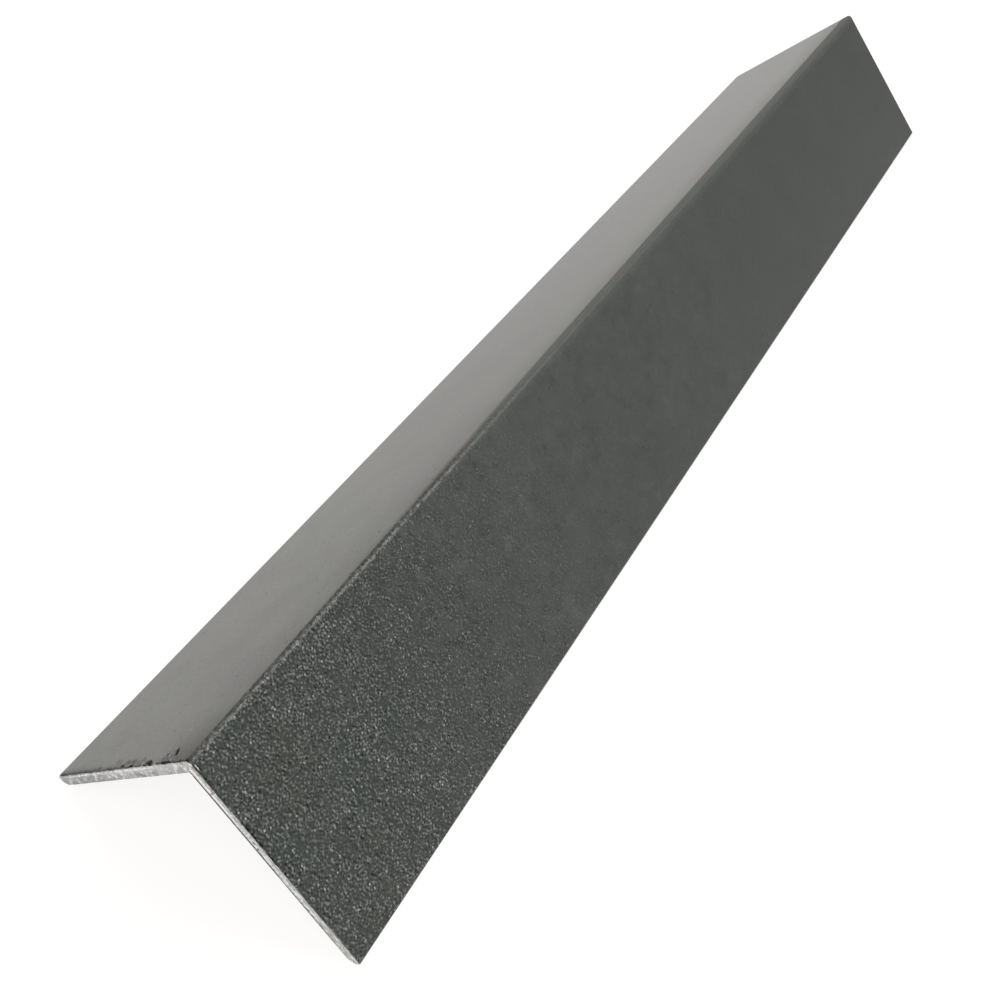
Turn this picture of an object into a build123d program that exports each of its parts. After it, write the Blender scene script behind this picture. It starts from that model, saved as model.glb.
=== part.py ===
from build123d import *
import os
from math import sqrt

# Equal-leg angle section: one extruded aluminium length with a thin coat on its long faces
# and bare sawn ends. It stands like a roof on its two toes, ridge up. X runs along the
# length, Z up, and the origin is under the middle of the ridge, at the floor.

# Driving dimensions, in millimetres
LENGTH = 300.0  # sawn length of the piece
LEG_WIDTH = 40.0  # bare metal, from the heel's outer face to the end of a leg
WALL = 2.0  # bare metal, thickness of each leg
COAT = 0.06  # depth of the coat on every long face
HEEL_RADIUS = 1.0  # outer corner where the legs meet, over the coat
ROOT_RADIUS = 0.3  # inner corner where the legs meet
TOE_INNER_RADIUS = 1.6  # inner edge of a toe, the one it stands on
TOE_OUTER_RADIUS = 0.4  # outer edge of a toe, only just broken
TOE_SHARE = 0.95  # of the wall, the most that both rounds of a toe may take together

# Sizes over the coat
leg = LEG_WIDTH + 2 * COAT
wall = WALL + 2 * COAT

# Both corners of a toe share the wall, so a thin wall limits the larger of the two rounds.
toe_round = min(TOE_INNER_RADIUS, TOE_SHARE * wall - TOE_OUTER_RADIUS)

# The legs slope down at 45 degrees. A sharp inner toe would reach (leg + wall) / sqrt(2)
# below the heel's sharp corner, and its round stops short of that by a little.
round_shortfall = (2 - sqrt(2)) * toe_round
heel_height = (leg + wall - round_shortfall) / sqrt(2)

# The section's own axes run down the two legs from the heel's sharp corner.
section_plane = Plane(
    origin=(-LENGTH / 2, 0, heel_height),
    x_dir=(0, -1, -1),
    z_dir=(1, 0, 0),
)

with BuildPart() as angle_section:
    with BuildSketch(section_plane):
        with BuildLine():
            FilletPolyline(
                (0, 0),
                (leg, 0),
                (leg, wall),
                (wall, wall),
                (wall, leg),
                (0, leg),
                radius=[
                    HEEL_RADIUS,
                    TOE_OUTER_RADIUS,
                    toe_round,
                    ROOT_RADIUS,
                    toe_round,
                    TOE_OUTER_RADIUS,
                ],
                close=True,
            )
        make_face()
    extrude(amount=LENGTH)

angle_section.part.label = "angle_section"

os.makedirs("parts", exist_ok=True)
export_step(angle_section.part, "parts/angle_section.step")
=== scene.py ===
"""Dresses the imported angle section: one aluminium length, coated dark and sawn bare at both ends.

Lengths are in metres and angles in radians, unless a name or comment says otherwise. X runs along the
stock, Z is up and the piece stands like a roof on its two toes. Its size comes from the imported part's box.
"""

import logging
import math
from collections.abc import Iterator
from dataclasses import dataclass, field
from enum import Enum
from functools import reduce
from itertools import pairwise

import bpy
from mathutils import Matrix, Vector, kdtree, noise
from mathutils.geometry import delaunay_2d_cdt


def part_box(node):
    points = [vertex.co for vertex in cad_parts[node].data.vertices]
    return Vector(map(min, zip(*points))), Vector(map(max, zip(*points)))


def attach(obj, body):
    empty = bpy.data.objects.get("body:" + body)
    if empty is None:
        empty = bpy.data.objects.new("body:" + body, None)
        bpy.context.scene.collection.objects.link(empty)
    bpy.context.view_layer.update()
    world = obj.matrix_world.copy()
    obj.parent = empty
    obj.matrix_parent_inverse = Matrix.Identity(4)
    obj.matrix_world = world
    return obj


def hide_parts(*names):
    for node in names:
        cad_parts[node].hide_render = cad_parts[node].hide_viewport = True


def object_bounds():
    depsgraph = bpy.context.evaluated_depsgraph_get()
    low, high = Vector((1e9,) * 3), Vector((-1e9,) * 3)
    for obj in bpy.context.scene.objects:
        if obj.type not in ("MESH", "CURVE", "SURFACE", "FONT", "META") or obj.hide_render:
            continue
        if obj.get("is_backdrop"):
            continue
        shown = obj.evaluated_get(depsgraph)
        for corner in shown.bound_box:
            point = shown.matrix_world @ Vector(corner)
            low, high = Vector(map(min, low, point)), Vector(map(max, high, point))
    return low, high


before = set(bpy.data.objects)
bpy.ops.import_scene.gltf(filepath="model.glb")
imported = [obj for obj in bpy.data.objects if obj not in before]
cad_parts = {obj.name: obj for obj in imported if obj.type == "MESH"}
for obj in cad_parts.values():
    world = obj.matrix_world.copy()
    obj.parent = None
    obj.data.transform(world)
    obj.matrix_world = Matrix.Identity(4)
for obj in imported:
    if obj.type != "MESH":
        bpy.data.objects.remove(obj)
cad_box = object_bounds()

log = logging.getLogger("angle_section")

MM = 0.001
ROOT_TWO = math.sqrt(2.0)
TINY = 1e-6

Colour = tuple[float, float, float]
Piece = bpy.types.Object
Socket = bpy.types.NodeSocket
Outputs = bpy.types.NodeOutputs
Feed = float | Colour | Socket


# ---------------------------------------------------------------- section


class Zone(Enum):
    """Stretch of the section's outline."""

    HEEL = "heel"
    RIGHT_FACE = "right_face"
    RIGHT_TOE = "right_toe"
    RIGHT_INSIDE = "right_inside"
    ROOT = "root"
    LEFT_INSIDE = "left_inside"
    LEFT_TOE = "left_toe"
    LEFT_FACE = "left_face"


INSIDE_ZONES = (Zone.RIGHT_INSIDE, Zone.LEFT_INSIDE, Zone.ROOT)


@dataclass(frozen=True)
class Corner:
    """Corner of the section, on the two axes that run down the legs from the sharp heel."""

    right: float  # distance down the right leg
    left: float  # distance down the left leg
    radius: float
    steps: int  # facets round the corner
    zone: Zone
    run_zone: Zone  # the straight run that follows the corner
    run_step: float  # widest facet on that run


@dataclass(frozen=True)
class Column:
    """One point of the outline, followed along the stock."""

    zone: Zone
    girth: float  # distance round the outline from the heel
    leg_place: float  # distance from the sharp heel down its own leg
    bend: float  # 0 on the flats, 1 in the middle of a rounded corner


@dataclass(frozen=True)
class Girth:
    """Where the inner faces lie among the outline's points, and how far round it goes."""

    total: float
    inside_first: int
    inside_last: int
    left_end: float  # girth of the left toe's last point, less than 0
    right_end: float


@dataclass(frozen=True)
class Section:
    """Rounded outline of the angle, over its coat."""

    leg: float
    wall: float
    heel_height: float  # height of the sharp heel over the floor
    heel_radius: float = 1.0 * MM
    root_radius: float = 0.3 * MM
    toe_inner_radius: float = 1.6 * MM
    toe_outer_radius: float = 0.4 * MM
    worn_radius: float = 0.1 * MM  # least round where a sawn edge is rolled over
    large_facets: int = 11  # round the heel and the toes' inner edges
    small_facets: int = 5
    face_step: float = 0.16 * MM
    inside_step: float = 0.3 * MM

    @classmethod
    def from_corner(cls, high: Vector) -> "Section":
        """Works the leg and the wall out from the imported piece's box, which stands on a floor at height 0.

        Args:
            high: Highest corner of the box.

        Returns:
            The section that fills the box.
        """
        shrink = ROOT_TWO - 1.0
        leg = ROOT_TWO * (high.y + shrink * cls.toe_outer_radius)
        heel_height = high.z + shrink * cls.heel_radius
        wall = ROOT_TWO * heel_height - leg + (2.0 - ROOT_TWO) * cls.toe_inner_radius
        return cls(leg=leg, wall=wall, heel_height=heel_height)

    def corners(self) -> list[Corner]:
        """Lists the six corners in order, heel first, then down the right leg.

        Returns:
            The corners.
        """
        leg, wall = self.leg, self.wall
        inner, outer = self.toe_inner_radius, self.toe_outer_radius
        many, few = self.large_facets, self.small_facets
        fine, wide = self.face_step, self.inside_step
        return [
            Corner(0.0, 0.0, self.heel_radius, many, Zone.HEEL, Zone.RIGHT_FACE, fine),
            Corner(leg, 0.0, outer, few, Zone.RIGHT_TOE, Zone.RIGHT_TOE, fine),
            Corner(leg, wall, inner, many, Zone.RIGHT_TOE, Zone.RIGHT_INSIDE, wide),
            Corner(wall, wall, self.root_radius, few, Zone.ROOT, Zone.LEFT_INSIDE, wide),
            Corner(wall, leg, inner, many, Zone.LEFT_TOE, Zone.LEFT_TOE, fine),
            Corner(0.0, leg, outer, few, Zone.LEFT_TOE, Zone.LEFT_FACE, fine),
        ]

    def place(self, right: float, left: float) -> Vector:
        """Turns distances down the two legs into a point's Y and Z."""
        return Vector(((left - right) / ROOT_TWO, self.heel_height - (left + right) / ROOT_TWO))

    def leg_places(self, point: Vector) -> tuple[float, float]:
        """Turns a point's Y and Z into its distances down the right and the left leg."""
        down = self.heel_height - point.y
        return (down - point.x) / ROOT_TWO, (down + point.x) / ROOT_TWO

    def outline(self, inset: float) -> list[Vector]:
        """Draws the outline on the leg axes, sunk below the surface.

        Args:
            inset: Depth below the coated surface.

        Returns:
            The points, as many for every depth, so that outlines can be blended.
        """
        corners = self.corners()
        nexts = corners[1:] + corners[:1]
        arcs = []
        for index, corner in enumerate(corners):
            arcs.append(self._round_corner(corners[index - 1], corner, nexts[index], inset))
        points = []
        for corner, after, arc, next_arc in zip(corners, nexts, arcs, arcs[1:] + arcs[:1]):
            points.extend(arc)
            for share in self._run_shares(corner, after):
                points.append(arc[-1].lerp(next_arc[0], share))
        return points

    def columns(self) -> list[Column]:
        """Describes each point of the outline.

        Returns:
            The descriptions, in the outline's order.
        """
        corners = self.corners()
        points = self.outline(0.0)
        zones = []
        bends = []
        for corner, after in zip(corners, corners[1:] + corners[:1]):
            for step in range(corner.steps + 1):
                zones.append(corner.zone)
                bends.append(math.sin(math.pi * step / corner.steps))
            run = self._run_shares(corner, after)
            zones.extend(corner.run_zone for _ in run)
            bends.extend(0.0 for _ in run)
        made = []
        girth = 0.0
        for index, point in enumerate(points):
            if index:
                girth += (point - points[index - 1]).length
            made.append(Column(zones[index], girth, max(point.x, point.y), bends[index]))
        return made

    def girth(self, columns: list[Column]) -> Girth:
        """Measures the way round the outline.

        Args:
            columns: The points of the outline.

        Returns:
            The measures.
        """
        points = self.outline(0.0)
        total = columns[-1].girth + (points[0] - points[-1]).length
        inside = [index for index, column in enumerate(columns) if column.zone in INSIDE_ZONES]
        first, last = inside[0] - 1, inside[-1] + 1
        return Girth(total, first, last, columns[last].girth - total, columns[first].girth)

    def _run_shares(self, corner: Corner, after: Corner) -> list[float]:
        """Divides a straight run of the outline evenly.

        Args:
            corner: The corner in front of the run.
            after: The corner behind it.

        Returns:
            The share of the run at each point inside it.
        """
        length = math.hypot(after.right - corner.right, after.left - corner.left)
        length -= corner.radius + after.radius
        steps = max(1, round(length / corner.run_step))
        return [step / steps for step in range(1, steps)]

    def _round_corner(self, before: Corner, corner: Corner, after: Corner, inset: float) -> list[Vector]:
        """Rounds one corner.

        Args:
            before: The corner in front of it.
            corner: The corner to round.
            after: The corner behind it.
            inset: Depth below the coated surface.

        Returns:
            The arc's points, both of its ends among them.
        """
        arriving = Vector((corner.right - before.right, corner.left - before.left)).normalized()
        leaving = Vector((after.right - corner.right, after.left - corner.left)).normalized()
        hollow = arriving.cross(leaving) < 0.0
        least = self.worn_radius if inset > 0.0 else 0.0
        radius = corner.radius + inset if hollow else max(least, corner.radius - inset)
        outward = Vector((arriving.y + leaving.y, -arriving.x - leaving.x))
        sharp = Vector((corner.right, corner.left)) - outward * inset
        centre = sharp + (leaving - arriving) * radius
        points = []
        for step in range(corner.steps + 1):
            turn = 0.5 * math.pi * step / corner.steps
            points.append(centre + (arriving * math.sin(turn) - leaving * math.cos(turn)) * radius)
        return points


# ---------------------------------------------------------------- ends


LAYER_GAP = 17.3  # how far apart two layers of the noise lie
SEED_GAP = 9.1  # and those of two ends
COAT_SHARES = (1.0, 0.88, 0.77, 0.66, 0.56, 0.46, 0.37, 0.28, 0.2, 0.13, 0.07, 0.02, 0.0)  # see rings
BARE_SHARES = (0.97, 0.6, 0.25, 0.0)


class Mask(Enum):
    """Value that each vertex carries for the finishes. Strokes leave the last three."""

    TORN = "torn"  # 1 where the saw tore the coat, along the cut
    BEND = "bend"  # 1 in the middle of a rounded corner, 0 on the flats
    LEG_PLACE = "leg_place"  # distance down the leg
    WALL_PLACE = "wall_place"  # 0 on the outer face, 1 on the inner one
    # dark strokes: smears, and the painted shadow of a dent
    GRIME = "grime"
    SHINE = "shine"
    RIM = "rim"  # 1 where the coat was dragged over the cut's inner edge


class Ground(Enum):
    """Surface that a stroke lies on."""

    LEFT_FACE = "left_face"
    RIGHT_FACE = "right_face"
    LEFT_CUT = "left_cut"
    RIGHT_CUT = "right_cut"


@dataclass(frozen=True)
class Stroke:
    """Straight mark near a sawn end: a smear, a rubbed streak, a dent or a burr. In millimetres."""

    start: tuple[float, float]  # distance down the leg, and back from the cut or across the wall
    stop: tuple[float, float]
    width: float
    strength: float = 1.0
    depth: float = 0.0  # pressed in, or standing up where it is less than 0
    fall: float = 0.8  # how sharply it ends at its sides

    def share_at(self, place: float, offset: float) -> float:
        """Tells how much of the stroke a spot gets.

        Args:
            place: Distance down the leg, in metres.
            offset: Distance back from the cut or across the wall, in metres.

        Returns:
            1 along the stroke's middle, falling to 0 past its width.
        """
        point = Vector((place / MM, offset / MM))
        start = Vector(self.start)
        run = Vector(self.stop) - start
        share = (point - start).dot(run) / max(run.length_squared, TINY)
        off = (point - start - run * min(1.0, max(0.0, share))).length / (0.5 * self.width)
        return math.exp(-self.fall * off**3)


@dataclass(frozen=True)
class Stretch:
    """Part of a sawn edge where the torn band is wider, narrower or paler. In millimetres."""

    start: float  # distance down the leg
    stop: float
    width: float
    level: float = 1.0  # how dark it is


@dataclass(frozen=True)
class CoatEdge:
    """How the coat ends along one kind of sawn edge. In millimetres."""

    roll_length: float  # how far back from the cut the edge starts to roll over
    roll_depth: float
    band: float  # width of the torn band, dark with dirt and painted shade
    fray: float = 0.03  # usual width of the bare strip between the coat and the cut
    level: float = 1.0  # how dark the band is
    passing: float = 0.5  # length over which one stretch passes into the next
    stretches: tuple[Stretch, ...] = ()

    def band_at(self, place: float) -> tuple[float, float]:
        """Finds what the torn band is like.

        Args:
            place: Distance down the leg, in millimetres.

        Returns:
            Its usual width in millimetres, and how dark it is.
        """
        width = self.band
        level = self.level
        for stretch in self.stretches:
            inside = min(place - stretch.start, stretch.stop - place) / self.passing + 0.5
            inside = min(1.0, max(0.0, inside))
            width += (stretch.width - width) * inside
            level += (stretch.level - level) * inside
        return width, level


@dataclass(frozen=True)
class Chip:
    """Place on a sawn edge where the coat has broken away. In millimetres."""

    zone: Zone
    place: float  # distance down the leg
    width: float
    reach: float  # how far it runs back from the cut


@dataclass(frozen=True)
class EdgeSizes:
    """Sizes of the sawn edge at one place of the outline."""

    roll_length: float
    roll_depth: float
    band: float
    level: float
    fray: float  # how far back from the cut the coat ends


@dataclass(frozen=True)
class Waves:
    """Smooth noise along a sawn edge."""

    size: float  # in millimetres
    layer: float
    swing: float  # to each side


class Wander(Enum):
    """What wanders along a sawn edge, and how."""

    BAND_BROAD = Waves(size=2.6, layer=1.0, swing=0.45)
    BAND_FINE = Waves(size=0.7, layer=2.0, swing=0.4)
    FRAY_BROAD = Waves(size=1.6, layer=3.0, swing=1.0)
    FRAY_FINE = Waves(size=0.4, layer=4.0, swing=0.8)
    CHIP_EDGE = Waves(size=0.3, layer=5.0, swing=0.35)


@dataclass(frozen=True)
class SawMarks:
    """Fine relief of a cut face: the lines of the saw's teeth, and pits. In millimetres."""

    depth: float = 0.012
    pitch: float = 0.55  # from one tooth's line to the next
    skew: float = 0.35  # how far the lines lean, for each unit across the wall
    drift: float = 0.12  # how far they wander
    drift_size: float = 2.0
    teeth_share: float = 0.45
    pit_length: float = 0.3
    pit_width: float = 0.2
    pit_share: float = 0.8
    pit_layer: float = 5.0

    def behind(self, place: float, across: float, seed: float) -> float:
        """Tells how far the metal lies behind the plane of the cut.

        Args:
            place: Distance down the leg, in metres.
            across: Distance from the leg's outer face, in metres.
            seed: Which end it is on.

        Returns:
            The distance, in metres.
        """
        drift_size = self.drift_size * MM
        drift = self.drift * MM * noise.noise(Vector((place / drift_size, across / drift_size, seed)))
        turns = (place + self.skew * across + drift) / (self.pitch * MM)
        teeth = 0.5 + 0.5 * math.sin(2.0 * math.pi * turns)
        spot = Vector((place / (self.pit_length * MM), across / (self.pit_width * MM), seed + self.pit_layer))
        pits = max(0.0, noise.noise(spot))
        return self.depth * MM * (self.teeth_share * teeth + self.pit_share * pits)


@dataclass
class SawnEnd:
    """One sawn end: the coat's torn edge, the bare strip past it and the cut face."""

    section: Section
    plane: float  # where along X the cut lies
    inward: float  # +1 where the stock runs towards +X from the cut
    seed: float
    left_edge: CoatEdge = CoatEdge(0.5, 0.12, 0.5)
    right_edge: CoatEdge = CoatEdge(0.4, 0.12, 0.3)
    inside_edge: CoatEdge = CoatEdge(0.12, 0.1, 0.1)
    chips: tuple[Chip, ...] = ()
    strokes: dict[Ground, dict[Mask, tuple[Stroke, ...]]] = field(default_factory=dict)
    marks: SawMarks = SawMarks()
    coat_depth: float = 0.06 * MM
    least_fray: float = 0.006 * MM
    steady_roll: float = 0.6  # share of the roll's length that doesn't wander
    roll_power: float = 2.2  # how late the roll turns down
    detail_length: float = 3.6 * MM  # how far back the rings lie close
    detail_step: float = 0.14 * MM
    fine_length: float = 1.2 * MM  # how far back they lie closest
    ring_gap: float = 0.1 * MM  # least distance between the two kinds
    grid_step: float = 0.15 * MM  # between points inside the cut face
    grid_margin: float = 0.2 * MM
    grid_shake: float = 0.03 * MM  # so that the points don't lie in rows
    shake_place: float = 0.7  # step through the noise from point to point
    shake_row: float = 0.9

    def wander(self, column: Column, kind: Wander) -> float:
        """Reads one of the noises at a place on the outline.

        Args:
            column: The place.
            kind: Which noise.

        Returns:
            Its value, 0 on average.
        """
        waves = kind.value
        spot = Vector((column.girth / (waves.size * MM), waves.layer * LAYER_GAP, self.seed * SEED_GAP))
        return waves.swing * noise.noise(spot)

    def edge_sizes(self, columns: list[Column]) -> list[EdgeSizes]:
        """Works out the sawn edge all round the outline.

        Args:
            columns: The points of the outline.

        Returns:
            The sizes at each point.
        """
        edges = [self._edge(column) for column in columns]
        lengths = smoothed([edge.roll_length * MM for edge in edges])
        depths = smoothed([edge.roll_depth * MM for edge in edges])
        torn = [edge.band_at(column.leg_place / MM) for edge, column in zip(edges, columns)]
        bands = smoothed([width * MM for width, _ in torn])
        levels = smoothed([level for _, level in torn])
        made = []
        for index, column in enumerate(columns):
            swell = 1.0 + self.wander(column, Wander.BAND_BROAD) + self.wander(column, Wander.BAND_FINE)
            made.append(
                EdgeSizes(
                    roll_length=lengths[index] * (self.steady_roll + (1.0 - self.steady_roll) * swell),
                    roll_depth=depths[index],
                    band=bands[index] * swell,
                    level=levels[index],
                    fray=self._fray(column, edges[index].fray),
                )
            )
        return made

    def _edge(self, column: Column) -> CoatEdge:
        """Picks the kind of edge that a place on the outline has.

        Args:
            column: The place.

        Returns:
            The edge.
        """
        match column.zone:
            case Zone.LEFT_INSIDE | Zone.RIGHT_INSIDE | Zone.ROOT:
                return self.inside_edge
            case Zone.LEFT_FACE | Zone.LEFT_TOE | Zone.HEEL:
                return self.left_edge
            case _:
                return self.right_edge

    def _fray(self, column: Column, usual: float) -> float:
        """Tells how far back from the cut the coat ends.

        Args:
            column: Place on the outline.
            usual: Its usual distance there, in millimetres.

        Returns:
            The distance.
        """
        swing = self.wander(column, Wander.FRAY_BROAD) + self.wander(column, Wander.FRAY_FINE)
        reach = max(self.least_fray, usual * (1.0 + swing) * MM)
        for chip in self.chips:
            if chip.zone is column.zone:
                off = abs(column.leg_place / MM - chip.place) / (0.5 * chip.width)
                rough = 1.0 + self.wander(column, Wander.CHIP_EDGE)
                reach = max(reach, chip.reach * MM * rough * max(0.0, 1.0 - off**2))
        return reach

    def sink(self, sizes: EdgeSizes, column: Column, back: float, bare: bool) -> float:
        """Tells how deep the surface lies at a place near the cut.

        Args:
            sizes: The edge's sizes there.
            column: Place on the outline.
            back: Distance from the cut.
            bare: Whether the coat is gone there.

        Returns:
            Depth below the coated surface.
        """
        left = max(0.0, 1.0 - back / sizes.roll_length)
        level = math.sqrt(1.0 - left**2)
        sunk = sizes.roll_depth * left**self.roll_power
        if bare:
            sunk += self.coat_depth * level
        for strokes in self.strokes.get(face_ground(column), {}).values():
            for stroke in strokes:
                if stroke.depth:
                    sunk += stroke.depth * MM * stroke.share_at(column.leg_place, back)
        return max(0.0, sunk)

    def ground_at(self, column: Column, back: float) -> tuple[Ground | None, float]:
        """Finds the ground under a place on the skin, and its offset there.

        Args:
            column: Place on the outline.
            back: Distance from the cut.

        Returns:
            The ground, if strokes can lie there, and the offset. The inner faces carry on from the cuts.
        """
        match column.zone:
            case Zone.LEFT_INSIDE:
                return Ground.LEFT_CUT, self.section.wall + back
            case Zone.RIGHT_INSIDE:
                return Ground.RIGHT_CUT, self.section.wall + back
            case _:
                return face_ground(column), back

    def stroke_masks(self, ground: Ground | None, place: float, offset: float) -> dict[Mask, float]:
        """Finds what the strokes leave at a spot.

        Args:
            ground: The surface that the spot is on.
            place: Distance down the leg.
            offset: Distance back from the cut, or across the wall.

        Returns:
            The value of each mask that a stroke there has.
        """
        masks = {}
        for mask, strokes in self.strokes.get(ground, {}).items():
            masks[mask] = max(stroke.strength * stroke.share_at(place, offset) for stroke in strokes)
        return masks

    def rings(self, sizes: list[EdgeSizes]) -> Iterator[tuple[list[float], bool]]:
        """Goes from the stock out to the cut, one ring of the skin at a time.

        The first rings lie evenly. Those of COAT_SHARES close in on the coat's ragged end, and those of
        BARE_SHARES cross the bare strip past it.

        Args:
            sizes: The edge's sizes at each column.

        Yields:
            The distance from the cut for each column, and whether the ring is bare metal.
        """
        fixed = self.detail_length
        while fixed > self.fine_length + self.ring_gap:
            yield [fixed] * len(sizes), False
            fixed -= self.detail_step
        for share in COAT_SHARES:
            yield [size.fray + (self.fine_length - size.fray) * share for size in sizes], False
        for share in BARE_SHARES:
            yield [size.fray * share for size in sizes], True

    def face_points(self) -> list[tuple[float, float]]:
        """Spreads points over the inside of the cut face.

        Returns:
            The distances of each down the right and the left leg.
        """
        step = self.grid_step
        margin = self.grid_margin
        rows = int((self.section.wall - 2.0 * margin) / step) + 1
        count = int((self.section.leg - 2.0 * margin) / step) + 1
        points = []
        for row in range(rows):
            for index in range(count):
                spot = Vector((index * self.shake_place, row * self.shake_row, self.seed))
                across = margin + row * step + self.grid_shake * noise.noise(spot)
                place = margin + (index + 0.5 * (row % 2)) * step
                points.append((place, across))
                if place > self.section.wall:
                    points.append((across, place))
        return points


def smoothed(values: list[float], reach: int = 4) -> list[float]:
    """Evens out a closed row of values.

    Args:
        values: One value for each point of the outline.
        reach: Points taken in on each side.

    Returns:
        The evened values.
    """
    count = len(values)
    window = range(-reach, reach + 1)
    return [sum(values[(index + step) % count] for step in window) / len(window) for index in range(count)]


def face_ground(column: Column) -> Ground | None:
    """Names the ground under a place on the outline, if strokes can lie there."""
    grounds = {Zone.LEFT_FACE: Ground.LEFT_FACE, Zone.RIGHT_FACE: Ground.RIGHT_FACE}
    return grounds.get(column.zone)


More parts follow.
